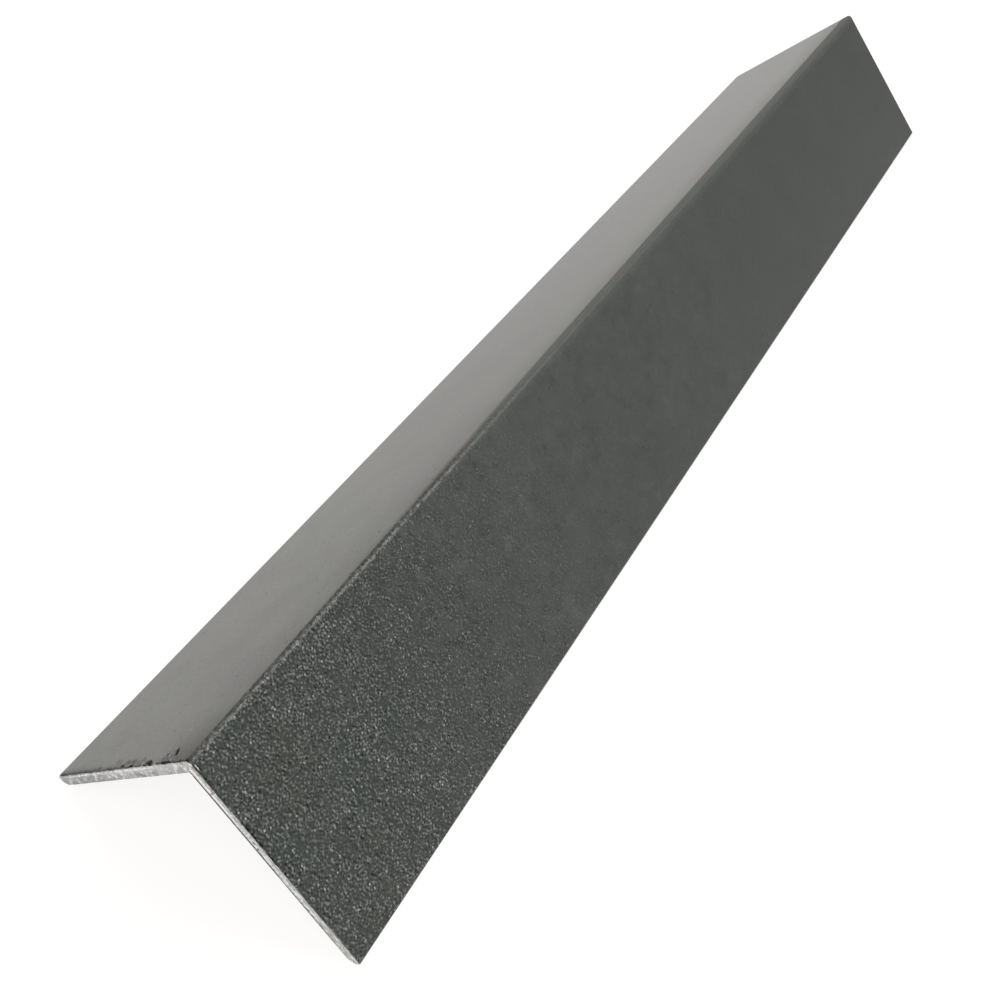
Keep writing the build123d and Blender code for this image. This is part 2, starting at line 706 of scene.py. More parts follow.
def used_end(section: Section, plane: float) -> SawnEnd:
    """Makes the near end, which was sawn roughly and has been handled since.

    Args:
        section: The stock's section.
        plane: Where along X the cut lies.

    Returns:
        The end.
    """
    left_edge = CoatEdge(
        roll_length=0.6,
        roll_depth=0.16,
        band=0.5,
        fray=0.09,
        level=0.85,
        stretches=(
            Stretch(0.5, 3.0, 0.25),
            Stretch(5.0, 8.0, 0.55),
            Stretch(9.3, 10.0, 0.25),
            Stretch(10.5, 12.6, 0.55),
            Stretch(12.8, 13.5, 0.25),
            Stretch(17.0, 23.0, 0.45, 0.78),
            Stretch(23.0, 31.0, 0.65, 0.82),
            Stretch(31.0, 38.0, 0.65, 0.76),
        ),
    )
    right_edge = CoatEdge(
        roll_length=0.4,
        roll_depth=0.12,
        band=0.1,
        fray=0.08,
        stretches=(
            Stretch(0.4, 4.6, 0.2),
            Stretch(4.6, 7.6, 0.14, 0.8),
            Stretch(12.3, 15.0, 0.4),
            Stretch(15.3, 16.9, 0.36),
            Stretch(17.7, 19.5, 0.26),
            Stretch(21.0, 22.5, 0.26),
            Stretch(33.0, 37.0, 0.2),
        ),
    )
    return SawnEnd(
        section,
        plane=plane,
        inward=1.0,
        seed=1.0,
        left_edge=left_edge,
        right_edge=right_edge,
        inside_edge=CoatEdge(roll_length=0.2, roll_depth=0.15, band=0.2),
        chips=(
            Chip(Zone.LEFT_FACE, 9.6, 1.1, 0.35),
            Chip(Zone.LEFT_FACE, 13.2, 0.8, 0.3),
            Chip(Zone.RIGHT_FACE, 11.4, 1.2, 0.2),
            Chip(Zone.RIGHT_FACE, 17.2, 0.8, 0.2),
            Chip(Zone.RIGHT_FACE, 25.0, 5.0, 0.14),
            Chip(Zone.RIGHT_FACE, 34.5, 9.0, 0.22),
        ),
        strokes={
            Ground.LEFT_FACE: {
                Mask.GRIME: (
                    # The first stroke is a dent with its painted shadow. The others darken the coat beside
                    # the torn edge.
                    Stroke((6.0, 2.7), (5.3, 1.7), 0.6, depth=0.1),
                    Stroke((6.9, 1.3), (4.4, 1.2), 1.5, strength=0.4),
                    Stroke((7.8, 1.9), (7.5, 1.6), 0.8, strength=0.6),
                    Stroke((8.2, 1.2), (7.7, 1.0), 0.8, strength=0.5),
                    Stroke((7.4, 0.3), (6.2, 0.25), 0.7, strength=0.9),
                    Stroke((11.7, 0.7), (11.0, 0.4), 0.9),
                    Stroke((12.6, 0.9), (12.2, 0.7), 0.7, strength=0.6),
                    Stroke((14.1, 1.5), (13.7, 1.1), 0.9, strength=0.5),
                    Stroke((15.6, 1.0), (14.9, 0.9), 1.0, strength=0.4),
                    Stroke((17.1, 1.3), (16.3, 1.1), 1.1, strength=0.5),
                    Stroke((16.9, 0.4), (16.2, 0.4), 0.8, strength=0.65),
                    Stroke((18.9, 1.2), (18.0, 1.1), 1.0, strength=0.45),
                    Stroke((19.7, 0.5), (19.1, 0.5), 0.8, strength=0.6),
                    Stroke((22.3, 1.6), (21.2, 1.4), 1.0, strength=0.35),
                    Stroke((23.5, 0.4), (23.0, 0.3), 0.8, strength=0.6),
                    Stroke((27.2, 0.5), (26.4, 0.5), 0.9, strength=0.55),
                ),
                Mask.SHINE: (
                    Stroke((7.5, 1.9), (5.2, 0.4), 0.3, strength=0.5, depth=-0.03),
                    Stroke((9.4, 1.7), (8.7, 2.0), 0.4, strength=0.4),
                    Stroke((13.6, 1.8), (13.3, 1.6), 0.4, strength=0.4),
                    Stroke((13.6, 0.8), (12.9, 0.2), 0.4, strength=0.55),
                    Stroke((9.9, 0.6), (9.8, 0.1), 0.4, strength=0.55),
                ),
            },
            Ground.RIGHT_FACE: {
                Mask.SHINE: (
                    Stroke((0.3, 0.36), (1.9, 0.34), 0.24, strength=1.0, depth=-0.02),
                    Stroke((0.0, 0.84), (1.0, 0.8), 0.24, strength=0.8),
                ),
                Mask.GRIME: (
                    Stroke((0.1, 0.6), (2.4, 0.57), 0.22, strength=0.9),
                ),
            },
            Ground.LEFT_CUT: {
                Mask.GRIME: (
                    Stroke((16.7, 1.5), (14.0, 1.55), 0.9, strength=0.55),
                    Stroke((12.4, 1.5), (10.2, 1.4), 0.8, strength=0.5),
                    Stroke((21.4, 1.1), (20.7, 1.5), 0.8, strength=0.6),
                    Stroke((29.4, 0.7), (27.9, 1.2), 1.2, strength=0.45),
                    Stroke((36.2, 1.5), (35.0, 1.4), 0.9, strength=0.4),
                    Stroke((38.0, 1.8), (23.0, 1.75), 0.9, strength=0.4),
                ),
                Mask.SHINE: (
                    # A painted highlight along the left cut's top edge.
                    Stroke((38.0, 0.35), (9.0, 0.35), 0.7, strength=0.55),
                ),
            },
            Ground.RIGHT_CUT: {
                Mask.SHINE: (
                    Stroke((1.4, 1.2), (10.0, 1.15), 0.8, strength=0.7),
                    Stroke((10.0, 1.15), (31.0, 1.15), 0.8, strength=0.55),
                ),
                Mask.RIM: (
                    Stroke((2.4, 1.96), (22.0, 1.96), 0.7),
                    Stroke((22.0, 1.98), (35.5, 2.02), 0.6, strength=0.85),
                ),
                Mask.GRIME: (
                    Stroke((6.0, 0.3), (6.3, 1.9), 0.45, strength=0.6),
                    Stroke((1.2, 0.4), (2.8, 0.4), 0.5, strength=0.5),
                    Stroke((10.6, 0.4), (11.2, 0.6), 0.7, strength=0.55),
                    Stroke((15.6, 0.9), (15.5, 0.9), 0.6, strength=0.9),
                    Stroke((16.8, 1.2), (16.7, 1.2), 0.6, strength=0.9),
                    Stroke((20.0, 0.4), (20.8, 0.5), 0.7, strength=0.55),
                    Stroke((22.8, 0.4), (23.6, 0.6), 0.7, strength=0.5),
                    Stroke((28.4, 1.9), (28.9, 1.4), 0.6, strength=0.7),
                    Stroke((33.5, 1.0), (34.2, 1.1), 0.9, strength=0.5),
                    Stroke((36.8, 0.8), (37.3, 0.9), 0.7, strength=0.5),
                ),
            },
        },
    )


# ---------------------------------------------------------------- stock


TRIANGLES_INSIDE = 1  # what delaunay_2d_cdt gives back: triangles, and only inside the border


class Cover(Enum):
    """What a face of the piece shows, and so its material slot."""

    COAT = 0
    BARE = 1


@dataclass
class Skin:
    """Vertices, faces and masks of the piece while it is being built."""

    places: list[Vector] = field(default_factory=list)
    masks: dict[Mask, list[float]] = field(default_factory=lambda: {mask: [] for mask in Mask})
    faces: list[tuple[int, ...]] = field(default_factory=list)
    covers: list[Cover] = field(default_factory=list)
    spots: list[Vector] = field(default_factory=list)  # one for each corner of each face, on the bake map

    def vertex(self, place: Vector, masks: dict[Mask, float]) -> int:
        """Adds one vertex.

        Args:
            place: Where it lies.
            masks: Its values, 0 for each mask left out.

        Returns:
            Its number.
        """
        self.places.append(place)
        for mask, values in self.masks.items():
            values.append(masks.get(mask, 0.0))
        return len(self.places) - 1

    def face(self, corners: tuple[int, ...], cover: Cover, spots: list[Vector]) -> None:
        """Adds one face.

        Args:
            corners: Its vertices.
            cover: What it shows.
            spots: Place of each of its corners on the bake map.
        """
        self.faces.append(corners)
        self.covers.append(cover)
        self.spots.extend(spots)


@dataclass(frozen=True)
class Ring:
    """Row of vertices round the stock."""

    along: list[float]  # place along X of each vertex
    numbers: list[int]
    cover: Cover


@dataclass(frozen=True)
class BakeMap:
    """Flat layout of the skin: the outer wrap in two halves, one over the other, and the rest beside them."""

    section: Section
    girth: Girth
    half_length: float
    gap: float = 0.008
    wrap_share: float = 0.776  # width of the outer wrap's column
    wrap_height: float = 0.448  # height of each of its halves

    def wrap(self, along: float, girth: float, far_half: bool) -> Vector:
        """Places a spot of the outer wrap.

        Args:
            along: Place along X.
            girth: Distance round the outline from the heel, less than 0 on the left leg.
            far_half: Whether it is in the half towards +X.

        Returns:
            The spot on the map.
        """
        share = (along + (0.0 if far_half else self.half_length)) / self.half_length
        rise = (girth - self.girth.left_end) / (self.girth.right_end - self.girth.left_end)
        base = self.gap + (self.wrap_height + self.gap if far_half else 0.0)
        return Vector((self.gap + share * self.wrap_share, base + rise * self.wrap_height))

    def inside(self, along: float, share: float) -> Vector:
        """Places a spot of the inner faces.

        Args:
            along: Place along X.
            share: Share of the way round the inner faces.

        Returns:
            The spot on the map.
        """
        left = self.wrap_share + 3.0 * self.gap
        width = 1.0 - self.gap - left
        height = 2.0 * self.wrap_height + self.gap
        rise = 0.5 * (along / self.half_length + 1.0)
        return Vector((left + share * width, self.gap + rise * height))

    def cut(self, place: float, across: float, row: int, column: int) -> Vector:
        """Places a spot of a cut face, one leg at a time.

        Args:
            place: Distance down the leg.
            across: Distance from the leg's outer face.
            row: 0 for the near end and 1 for the far one.
            column: 0 for the left leg and 1 for the right one.

        Returns:
            The spot on the map.
        """
        width = 0.5 - 2.0 * self.gap
        scale = width / self.section.leg
        base = 2.0 * self.wrap_height + 4.0 * self.gap
        rise = base + row * (self.section.wall * scale + 2.0 * self.gap) + across * scale
        return Vector((self.gap + 0.5 * column + place * scale, rise))


@dataclass
class AngleStock:
    """The whole length: its coated skin between two sawn ends."""

    section: Section
    near: SawnEnd
    far: SawnEnd
    middle_stations: int = 14
    blend_depth: float = 0.4 * MM  # depth of the sunk outline that the surface is blended with
    torn_reach: float = 3.2  # how far back the torn mask fades out, in widths of the torn band
    fill_gap: float = 0.1 * MM  # least distance from a cut's border to a point inside it
    merge_gap: float = 1e-9  # points of a cut closer than this are one
    sharp_angle: float = math.radians(50.0)
    skin: Skin = field(default_factory=Skin)

    def __post_init__(self) -> None:
        """Sets out the points of the outline and the bake map."""
        self.columns = self.section.columns()
        self.bake_map = BakeMap(self.section, self.section.girth(self.columns), self.far.plane)

    def build(self) -> Piece:
        """Builds the closed mesh.

        Returns:
            The piece, undressed.
        """
        near_rings = self._end_rings(self.near)
        far_rings = self._end_rings(self.far)
        for first, second in pairwise(near_rings[::-1] + self._middle_rings() + far_rings):
            self._bridge(first, second)
        self._fill(self.near, near_rings[-1].numbers)
        self._fill(self.far, far_rings[-1].numbers)
        return self._mesh_object()

    def _end_rings(self, end: SawnEnd) -> list[Ring]:
        """Lays the rings of one end.

        Args:
            end: The sawn end.

        Returns:
            The rings, from the stock out to the cut.
        """
        surface = self.section.outline(0.0)
        deep = self.section.outline(self.blend_depth)
        sizes = end.edge_sizes(self.columns)
        made = []
        for backs, bare in end.rings(sizes):
            numbers = []
            for column, size, shallow, sunk, back in zip(self.columns, sizes, surface, deep, backs):
                across = shallow.lerp(sunk, end.sink(size, column, back, bare) / self.blend_depth)
                spot = self.section.place(across.x, across.y)
                ground, offset = end.ground_at(column, back)
                masks = self._masks(column) | end.stroke_masks(ground, column.leg_place, offset)
                masks[Mask.TORN] = size.level * max(0.0, 1.0 - back / (self.torn_reach * size.band))
                place = Vector((end.plane + end.inward * back, spot.x, spot.y))
                numbers.append(self.skin.vertex(place, masks))
            along = [end.plane + end.inward * back for back in backs]
            made.append(Ring(along, numbers, Cover.BARE if bare else Cover.COAT))
        return made

    def _middle_rings(self) -> list[Ring]:
        """Lays the evenly spaced rings between the two ends.

        Returns:
            The rings, from the near end to the far one.
        """
        start = self.near.plane + self.near.inward * self.near.detail_length
        stop = self.far.plane + self.far.inward * self.far.detail_length
        outline = [self.section.place(point.x, point.y) for point in self.section.outline(0.0)]
        made = []
        for step in range(1, self.middle_stations):
            along = start + (stop - start) * step / self.middle_stations
            numbers = []
            for column, spot in zip(self.columns, outline):
                numbers.append(self.skin.vertex(Vector((along, spot.x, spot.y)), self._masks(column)))
            made.append(Ring([along] * len(outline), numbers, Cover.COAT))
        return made

    def _masks(self, column: Column) -> dict[Mask, float]:
        """Gives the masks that depend on the place round the outline alone."""
        return {
            Mask.BEND: column.bend,
            Mask.LEG_PLACE: column.leg_place,
            Mask.WALL_PLACE: 1.0 if column.zone in INSIDE_ZONES else 0.0,
        }

    def _bridge(self, first: Ring, second: Ring) -> None:
        """Joins two rings.

        Args:
            first: Ring at the lower X.
            second: The next ring.
        """
        cover = Cover.BARE if Cover.BARE in (first.cover, second.cover) else Cover.COAT
        count = len(self.columns)
        far_half = first.along[0] > -TINY
        for index in range(count):
            after = (index + 1) % count
            corners = []
            spots = []
            for ring, at in ((first, index), (first, after), (second, after), (second, index)):
                corners.append(ring.numbers[at])
                spots.append(self._skin_spot(ring.along[at], index, at, far_half))
            self.skin.face(tuple(corners), cover, spots)

    def _skin_spot(self, along: float, strip: int, at: int, far_half: bool) -> Vector:
        """Places a corner of a face on the bake map.

        Args:
            along: Place along X.
            strip: Number of the strip of faces that it belongs to.
            at: Number of the corner's column.
            far_half: Whether the face is in the half towards +X.

        Returns:
            The spot on the map.
        """
        girth = self.bake_map.girth
        round_place = self.columns[at].girth
        if girth.inside_first <= strip < girth.inside_last:
            inside_length = girth.total + girth.left_end - girth.right_end
            return self.bake_map.inside(along, (round_place - girth.right_end) / inside_length)
        if strip >= girth.inside_last and at > 0:
            round_place -= girth.total
        return self.bake_map.wrap(along, round_place, far_half)

    def _fill(self, end: SawnEnd, ring: list[int]) -> None:
        """Closes one end with its cut face.

        Args:
            end: The sawn end.
            ring: The vertices round the cut.
        """
        border = [self.skin.places[number].yz for number in ring]
        count = len(border)
        tree = kdtree.KDTree(count)
        for index, point in enumerate(border):
            tree.insert(point.to_3d(), index)
        tree.balance()
        spread = [self.section.place(right, left) for right, left in end.face_points()]
        flat = border + [point for point in spread if tree.find(point.to_3d())[2] > self.fill_gap]
        sides = [(index, (index + 1) % count) for index in range(count)]
        filled = delaunay_2d_cdt(flat, sides, [list(range(count))], TRIANGLES_INSIDE, self.merge_gap)
        points, _, triangles, sources, _, _ = filled
        numbers = dict(enumerate(ring))
        row = 0 if end.inward > 0.0 else 1
        for triangle in triangles:
            flat_corners = [Vector(points[corner]) for corner in triangle]
            first, second, third = flat_corners
            if (second - first).cross(third - first) * end.inward > 0.0:
                flat_corners.reverse()
                triangle = triangle[::-1]
            for corner, point in zip(triangle, flat_corners):
                source = sources[corner][0]
                if source not in numbers:
                    numbers[source] = self._cut_vertex(end, point)
            column = 1 if sum(flat_corners, Vector((0.0, 0.0))).x < 0.0 else 0
            spots = []
            for point in flat_corners:
                legs = self.section.leg_places(point)
                spots.append(self.bake_map.cut(legs[1 - column], legs[column], row, column))
            self.skin.face(tuple(numbers[sources[corner][0]] for corner in triangle), Cover.BARE, spots)

    def _cut_vertex(self, end: SawnEnd, point: Vector) -> int:
        """Adds one vertex inside a cut face.

        Args:
            end: The sawn end.
            point: Its Y and Z.

        Returns:
            Its number.
        """
        right, left = self.section.leg_places(point)
        leg_place, across = max(right, left), min(right, left)
        ground = Ground.LEFT_CUT if left > right else Ground.RIGHT_CUT
        masks = end.stroke_masks(ground, leg_place, across)
        masks[Mask.LEG_PLACE] = leg_place
        masks[Mask.WALL_PLACE] = across / self.section.wall
        along = end.plane + end.inward * end.marks.behind(leg_place, across, end.seed)
        return self.skin.vertex(Vector((along, point.x, point.y)), masks)

    def _mesh_object(self) -> Piece:
        """Makes the Blender object from the finished skin.

        Returns:
            The object, linked to the scene.
        """
        skin = self.skin
        mesh = bpy.data.meshes.new("coated_angle")
        mesh.from_pydata(skin.places, [], skin.faces)
        mesh.polygons.foreach_set("material_index", [cover.value for cover in skin.covers])
        mesh.polygons.foreach_set("use_smooth", [True] * len(skin.faces))
        for mask, values in skin.masks.items():
            mesh.attributes.new(mask.value, "FLOAT", "POINT").data.foreach_set("value", values)
        bake_layer = mesh.uv_layers.new(name="OFBake")
        bake_layer.data.foreach_set("uv", [value for spot in skin.spots for value in spot])
        mesh.validate()
        mesh.set_sharp_from_angle(angle=self.sharp_angle)
        return placed("coated_angle", mesh)


def placed(name: str, data: bpy.types.ID) -> Piece:
    """Makes an object of a mesh, lamp or camera and links it to the scene.

    Args:
        name: Its name.
        data: What it shows.

    Returns:
        The object.
    """
    made = bpy.data.objects.new(name, data)
    bpy.context.scene.collection.objects.link(made)
    return made


# ---------------------------------------------------------------- shader wiring


@dataclass(frozen=True)
class Ramp:
    """Smooth passage from one level to another, over a span of some reading."""

    start: float
    stop: float
    low: Feed = 0.0  # the level at the start and before it
    high: Feed = 1.0


class Wiring:
    """Adds the nodes of one tree and links them."""

    def __init__(self, tree: bpy.types.NodeTree) -> None:
        """Starts with an empty tree."""
        self.tree = tree
        self.tree.nodes.clear()

    def add(self, kind: str, inputs: dict[str | int, Feed] | None = None, **settings: object) -> Outputs:
        """Adds one node.

        Args:
            kind: Blender's name for the node's type.
            inputs: What feeds each of its inputs, by name or number.
            **settings: Properties to set on it.

        Returns:
            Its outputs.
        """
        node = self.tree.nodes.new(kind)
        for name, value in settings.items():
            setattr(node, name, value)
        for name, value in (inputs or {}).items():
            self.feed(node.inputs[name], value)
        return node.outputs

    def feed(self, socket: Socket, value: Feed) -> None:
        """Links a socket to another one, or sets its own value.

        Args:
            socket: The socket.
            value: The other socket, or the number or colour.
        """
        if isinstance(value, Socket):
            self.tree.links.new(value, socket)
        elif isinstance(value, tuple) and len(value) < len(socket.default_value):
            socket.default_value = (*value, 1.0)
        else:
            socket.default_value = value

    def math(self, operation: str, first: Feed, second: Feed) -> Socket:
        """Does one sum, which goes by Blender's own name."""
        return self.add("ShaderNodeMath", {0: first, 1: second}, operation=operation)[0]

    def times(self, first: Feed, second: Feed) -> Socket:
        """Multiplies two values."""
        return self.math("MULTIPLY", first, second)

    def larger(self, first: Feed, second: Feed) -> Socket:
        """Picks the larger of two values."""
        return self.math("MAXIMUM", first, second)

    def noise(self, vector: Feed, scale: Feed, detail: float = 0.0, rough: float = 0.5) -> Socket:
        """Reads noise around 0.5. The scale is its waves for each unit, the detail its finer layers."""
        inputs = {"Vector": vector, "Scale": scale, "Detail": detail, "Roughness": rough}
        return self.add("ShaderNodeTexNoise", inputs)["Fac"]

    def level(self, reading: Feed, ramp: Ramp) -> Socket:
        """Maps a reading through a ramp, without overshoot."""
        inputs = dict(enumerate((reading, ramp.start, ramp.stop, ramp.low, ramp.high)))
        return self.add("ShaderNodeMapRange", inputs, interpolation_type="SMOOTHSTEP")["Result"]

    def mix(self, share: Feed, first: Feed, second: Feed) -> Socket:
        """Mixes two colours, by the share of the second one."""
        inputs = {"Factor": share, "A": first, "B": second}
        return self.add("ShaderNodeMix", inputs, data_type="RGBA")["Result"]

    def scaled(self, vector: Feed, scale: Feed) -> Socket:
        """Multiplies a place by a number."""
        return self.add("ShaderNodeVectorMath", {"Vector": vector, "Scale": scale}, operation="SCALE")[0]

    def shifted(self, vector: Feed, shift: Colour) -> Socket:
        """Moves a place, so that a second texture differs from the first."""
        return self.add("ShaderNodeVectorMath", {0: vector, 1: shift}, operation="ADD")[0]

    def mask(self, mask: Mask) -> Socket:
        """Reads one of the masks that the mesh carries."""
        return self.add("ShaderNodeAttribute", attribute_name=mask.value)["Fac"]

    def finish(self, shader: Outputs, output: str = "ShaderNodeOutputMaterial") -> None:
        """Puts a shader on the surface, or a background in the world's output."""
        self.add(output, {"Surface": shader[0]})


class Effect(Enum):
    """Shader group that more than one finish uses."""

    GRAIN = "fine_grain"
    MOTTLE = "mottle"
    WEAR = "edge_wear"


@dataclass
class EffectShelf:
    """Builds each shader group once and places it where it is asked for."""

    ripple_scale: float = 1.3
    ripple_sides: tuple[Colour, Colour] = ((0.5, 0.3, -0.2), (-0.35, 0.45, 0.3))
    ripple_rise: float = 3.0  # height of the ripples, where a bead's is 1
    grain_turn: Colour = (0.6, 0.5, 0.9)  # off the axes, so that no row of the grain runs along a face
    spot_scale: float = 0.9
    spot_edge: Ramp = Ramp(0.5, 0.08)
    bead_rarity: float = 6.0
    pit_rarity: float = 3.0
    pit_side: Colour = (0.4, 0.1, -0.3)  # from a bead to the pit beside it
    light: Ramp = Ramp(0.3, 0.7)
    warm: Ramp = Ramp(0.35, 0.65)
    warm_shift: Colour = (37.0, 11.0, 5.0)
    wear: Ramp = Ramp(0.3, 0.8)
    wear_swing: float = 4.0  # how far the noise moves the mask, for each unit of Ragged
    trees: dict[Effect, bpy.types.NodeTree] = field(default_factory=dict)

    def use(self, wiring: Wiring, effect: Effect, **inputs: Feed) -> Outputs:
        """Places a group in a tree.

        Args:
            wiring: The tree's wiring.
            effect: Which group.
            **inputs: What feeds its inputs.

        Returns:
            The group's outputs.
        """
        if effect not in self.trees:
            builders = {Effect.GRAIN: self._grain, Effect.MOTTLE: self._mottle, Effect.WEAR: self._wear}
            self.trees[effect] = builders[effect]()
        named = {name.title(): value for name, value in inputs.items()}
        return wiring.add("ShaderNodeGroup", named, node_tree=self.trees[effect])

    def _open(self, effect: Effect, *numbers: str) -> tuple[Wiring, Outputs]:
        """Starts a group.

        Args:
            effect: Which group.
            *numbers: Name of each number that it takes. It also takes a Vector.

        Returns:
            Its wiring and what it is given.
        """
        tree = bpy.data.node_groups.new(effect.value, "ShaderNodeTree")
        wiring = Wiring(tree)
        tree.interface.new_socket("Vector", in_out="INPUT", socket_type="NodeSocketVector")
        for name in numbers:
            tree.interface.new_socket(name, in_out="INPUT", socket_type="NodeSocketFloat")
        return wiring, wiring.add("NodeGroupInput")

    def _close(self, wiring: Wiring, results: dict[str, Feed]) -> bpy.types.NodeTree:
        """Ends a group.

        Args:
            wiring: Its wiring.
            results: Name and source of each value that it gives.

        Returns:
            The group's tree.
        """
        for name in results:
            wiring.tree.interface.new_socket(name, in_out="OUTPUT", socket_type="NodeSocketFloat")
        wiring.add("NodeGroupOutput", results)
        return wiring.tree

    def _grain(self) -> bpy.types.NodeTree:
        """Builds the fine grain: even ripples with raised beads, each with a sunk pit at its side. The
        finishes colour the beads pale and the pits dark, as painted glints and painted shade.

        Returns:
            The group's tree.
        """
        wiring, given = self._open(Effect.GRAIN, "Size")
        place = wiring.scaled(given["Vector"], wiring.math("DIVIDE", 1.0, given["Size"]))
        inputs = {"Vector": place, "Rotation": self.grain_turn}
        here = wiring.add("ShaderNodeVectorRotate", inputs, rotation_type="EULER_XYZ")["Vector"]
        sides = [wiring.noise(wiring.shifted(here, side), self.ripple_scale) for side in self.ripple_sides]
        beside = wiring.times(wiring.math("ADD", *sides), 0.5)
        ripple = wiring.math("SUBTRACT", wiring.noise(here, self.ripple_scale), beside)
        beads = self._spots(wiring, here, self.bead_rarity)
        pits = self._spots(wiring, wiring.shifted(here, self.pit_side), self.pit_rarity)
        lumps = wiring.math("SUBTRACT", beads, pits)
        height = wiring.math("ADD", lumps, wiring.times(ripple, self.ripple_rise))
        return self._close(wiring, {"Ripple": ripple, "Beads": beads, "Pits": pits, "Height": height})

    def _spots(self, wiring: Wiring, place: Feed, rarity: float) -> Socket:
        """Scatters round spots, of which some are strong and most are faint.

        Args:
            wiring: The group's wiring.
            place: Where to read them.
            rarity: How few of them are strong.

        Returns:
            1 in the middle of a strong spot, 0 between spots.
        """
        cells = wiring.add("ShaderNodeTexVoronoi", {"Vector": place, "Scale": self.spot_scale})
        luck = wiring.add("ShaderNodeSeparateColor", {0: cells["Color"]})[0]
        strong = wiring.math("POWER", luck, rarity)
        return wiring.times(wiring.level(cells["Distance"], self.spot_edge), strong)

    def _mottle(self) -> bpy.types.NodeTree:
        """Builds the broad, soft mottle: one value for light and dark and one for warm and cool.

        Returns:
            The group's tree.
        """
        wiring, given = self._open(Effect.MOTTLE, "Size")
        place = given["Vector"]
        scale = wiring.math("DIVIDE", 1.0, given["Size"])
        light = wiring.level(wiring.noise(place, scale, detail=3.0), self.light)
        warm = wiring.noise(wiring.shifted(place, self.warm_shift), scale, detail=1.0)
        return self._close(wiring, {"Light": light, "Warm": wiring.level(warm, self.warm)})

    def _wear(self) -> bpy.types.NodeTree:
        """Builds a mask made ragged by noise, for rubbed corners, for dirty rims that are partly painted
        shade, and for the ridge's painted shade line.

        Returns:
            The group's tree.
        """
        wiring, given = self._open(Effect.WEAR, "Mask", "Size", "Ragged")
        scale = wiring.math("DIVIDE", 1.0, given["Size"])
        rough = wiring.math("SUBTRACT", wiring.noise(given["Vector"], scale, detail=3.0, rough=0.6), 0.5)
        moved = wiring.times(rough, wiring.times(given["Ragged"], self.wear_swing))
        worn = wiring.level(wiring.math("ADD", given["Mask"], moved), self.wear)
        return self._close(wiring, {"Wear": worn})


@dataclass(frozen=True)
class Area:
    """Part of the skin with soft borders, in millimetres. Its level is the product of its ramps' levels."""

    down: Ramp | None = None  # down the leg
    across: Ramp | None = None  # across the stock, more than 0 on the left leg
    along: Ramp | None = None  # along the stock, 0 in its middle


class PieceWiring(Wiring):
    """Wiring of one of the piece's own materials, with the readings that its effects share."""

    def __init__(self, name: str, shelf: EffectShelf) -> None:
        """Starts a material.

        Args:
            name: Its name.
            shelf: The shared shader groups.
        """
        self.material = bpy.data.materials.new(name)
        self.material.use_nodes = True
        super().__init__(self.material.node_tree)
        self.shelf = shelf
        self.place = self.scaled(self.add("ShaderNodeTexCoord")["Object"], 1.0 / MM)
        self.axes = self.add("ShaderNodeSeparateXYZ", {0: self.place})
        self.leg_place = self.math("DIVIDE", self.mask(Mask.LEG_PLACE), MM)

    def area(self, area: Area) -> Socket:
        """Gives an area's level."""
        readings = ((self.leg_place, area.down), (self.axes["Y"], area.across), (self.axes["X"], area.along))
        return reduce(self.times, [self.level(reading, ramp) for reading, ramp in readings if ramp])

    def effect(self, effect: Effect, **inputs: Feed) -> Outputs:
        """Places one of the shared groups."""
        return self.shelf.use(self, effect, vector=self.place, **inputs)

    def worn(self, mask: Feed, size: float, ragged: float) -> Socket:
        """Breaks a mask up at its edges, by noise of a size in millimetres."""
        return self.effect(Effect.WEAR, mask=mask, size=size, ragged=ragged)["Wear"]

    def bumped(self, height: Feed, strength: float, distance: float) -> Socket:
        """Raises a relief. The distance is the height of its full rise."""
        inputs = {"Strength": strength, "Distance": distance, "Height": height}
        return self.add("ShaderNodeBump", inputs)["Normal"]

    def finished(self, looks: dict[str, Feed]) -> bpy.types.Material:
        """Ends the material with a shader that has these looks, by the name of each socket."""
        self.finish(self.add("ShaderNodeBsdfPrincipled", looks))
        return self.material


# ---------------------------------------------------------------- finishes


